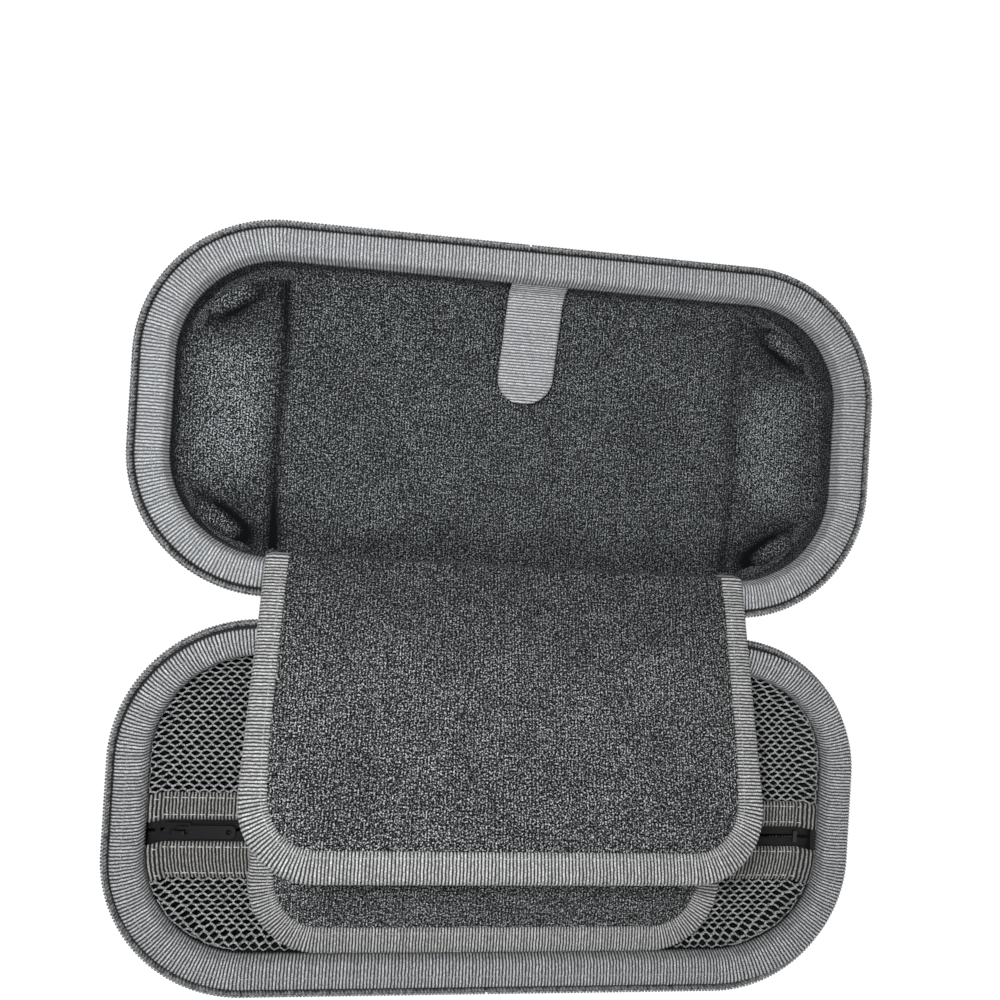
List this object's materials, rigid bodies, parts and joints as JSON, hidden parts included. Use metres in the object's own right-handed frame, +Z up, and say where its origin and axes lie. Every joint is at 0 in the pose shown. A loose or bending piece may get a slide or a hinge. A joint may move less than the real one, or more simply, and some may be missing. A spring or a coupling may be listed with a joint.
{
  "type": "portable game console case",
  "caption": "Zip-up hard-shell carrying case for a handheld game console, lying open flat, with a moulded lid bed, lift tab, padded pages and a net zip pocket.",
  "frame": {"origin": "on the floor under the middle of the hinge, with the case open flat on its back", "axes": "+X along the hinge to the right, +Y from the base to the lid, +Z up out of both trays"},
  "size_m": [0.26, 0.2606, 0.0625],
  "materials": {
    "shell": "black woven cloth bonded over moulded foam",
    "knit_lining": "brushed charcoal knit",
    "grosgrain": "ribbed grosgrain tape, dark grey",
    "zip_tape": "woven zip tape",
    "zip_coil": "nylon monofilament coil",
    "zip_metal": "black lacquered zinc",
    "net": "knitted nylon net",
    "page_knit": "brushed charcoal knit over foam",
    "elastic": "grey ribbed elastic",
    "strip": "black woven strip"
  },
  "bodies": {
    "base": {"base_shell": "shell", "base_lining": "knit_lining", "base_binding": "grosgrain", "base_zip_tape": "zip_tape", "base_zip_coil": "zip_coil", "base_zip_stops": "zip_metal", "pocket_mesh_rear": "net", "pocket_mesh_front": "net", "pocket_band_rear": "grosgrain", "pocket_band_front": "grosgrain", "pocket_zip_tape_rear": "zip_tape", "pocket_zip_tape_front": "zip_tape", "pocket_zip_coil_rear": "zip_coil", "pocket_zip_coil_front": "zip_coil", "pocket_zip_stops": "zip_metal", "hinge_strip": "strip", "zip_slider_left": "zip_metal", "zip_slider_right": "zip_metal"},
    "lid": {"lid_shell": "shell", "lid_lining": "knit_lining", "lid_binding": "grosgrain", "lid_zip_tape": "zip_tape", "lid_zip_coil": "zip_coil", "lid_zip_stops": "zip_metal", "lift_tab": "elastic"},
    "upper_page": {"upper_page_panel": "page_knit", "upper_page_binding": "grosgrain"},
    "lower_page": {"lower_page_panel": "page_knit", "lower_page_binding": "grosgrain"},
    "pocket_slider": {"pocket_zip_slider": "zip_metal"},
    "pocket_pull": {"pocket_zip_pull": "zip_metal"},
    "left_pull": {"zip_pull_left": "zip_metal"},
    "right_pull": {"zip_pull_right": "zip_metal"}
  },
  "joints": [
    {"name": "lid_hinge", "type": "hinge", "parent": "base", "child": "lid", "pos_m": [0, 0, 0.0253], "axis": [-1, 0, 0], "range_deg": [-180, 0], "deforming": ["hinge_strip"]},
    {"name": "upper_page_hinge", "type": "hinge", "parent": "lid", "child": "upper_page", "pos_m": [0, 0.01662, 0.0255], "axis": [-1, 0, 0], "range_deg": [0, 163]},
    {"name": "lower_page_hinge", "type": "hinge", "parent": "base", "child": "lower_page", "pos_m": [0, -0.01692, 0.021], "axis": [-1, 0, 0], "range_deg": [0, 29]},
    {"name": "pocket_zip_slide", "type": "slide", "parent": "base", "child": "pocket_slider", "axis": [1, 0, 0], "range_m": [0, 0.2055]},
    {"name": "pocket_pull_swing", "type": "hinge", "parent": "pocket_slider", "child": "pocket_pull", "pos_m": [-0.10752, -0.078, 0.016], "axis": [0, -1, 0], "range_deg": [0, 115]},
    {"name": "left_pull_swing", "type": "hinge", "parent": "base", "child": "left_pull", "pos_m": [-0.076, 0, 0.0226], "axis": [0, 1, 0], "range_deg": [-75, 75]},
    {"name": "right_pull_swing", "type": "hinge", "parent": "base", "child": "right_pull", "pos_m": [0.076, 0, 0.0226], "axis": [0, 1, 0], "range_deg": [-75, 75]}
  ],
  "couplings": [
    {"joint": "upper_page_hinge", "follows": "lid_hinge", "ratio": -0.90556}
  ]
}
